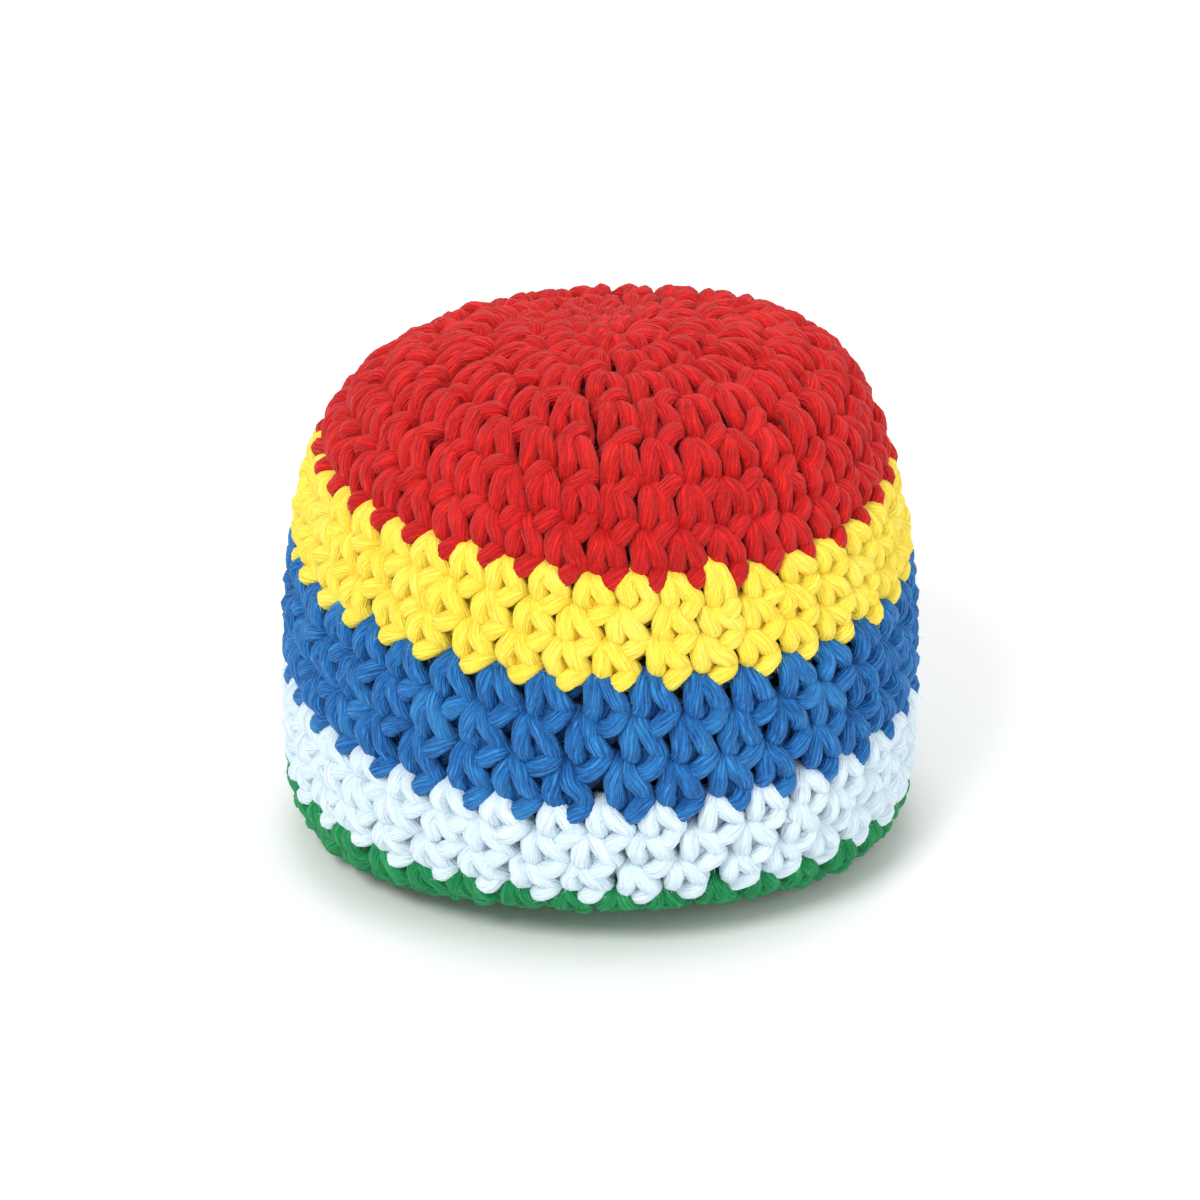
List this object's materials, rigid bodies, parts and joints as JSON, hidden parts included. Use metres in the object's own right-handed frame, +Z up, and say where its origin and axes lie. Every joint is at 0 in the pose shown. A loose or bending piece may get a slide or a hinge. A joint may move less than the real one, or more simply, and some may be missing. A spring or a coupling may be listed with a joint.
{
  "type": "juggling ball",
  "caption": "Crocheted juggling ball: a yarn cover in bands of colour around a tied cloth bag of loose pellets, with a soft flat it comes to rest on",
  "frame": {"origin": "middle of the flat the ball rests on", "axes": "+Z up through the middle of the crown, the ball's axis of symmetry"},
  "size_m": [0.06, 0.06, 0.0515],
  "materials": {
    "red_yarn": "matte cotton yarn",
    "yellow_yarn": "matte cotton yarn",
    "blue_yarn": "matte cotton yarn",
    "pale_blue_yarn": "matte cotton yarn",
    "green_yarn": "matte cotton yarn",
    "dark_cloth": "matte woven cloth",
    "tie_thread": "matte thread",
    "pellet_plastic": "matte"
  },
  "bodies": {
    "root": {"red_crown_yarn": "red_yarn", "yellow_band_yarn": "yellow_yarn", "blue_band_yarn": "blue_yarn", "pale_blue_band_yarn": "pale_blue_yarn", "green_base_yarn": "green_yarn", "pellet_bag": "dark_cloth", "bag_tie_thread": "tie_thread", "filling_pellets": "pellet_plastic"}
  },
  "joints": []
}
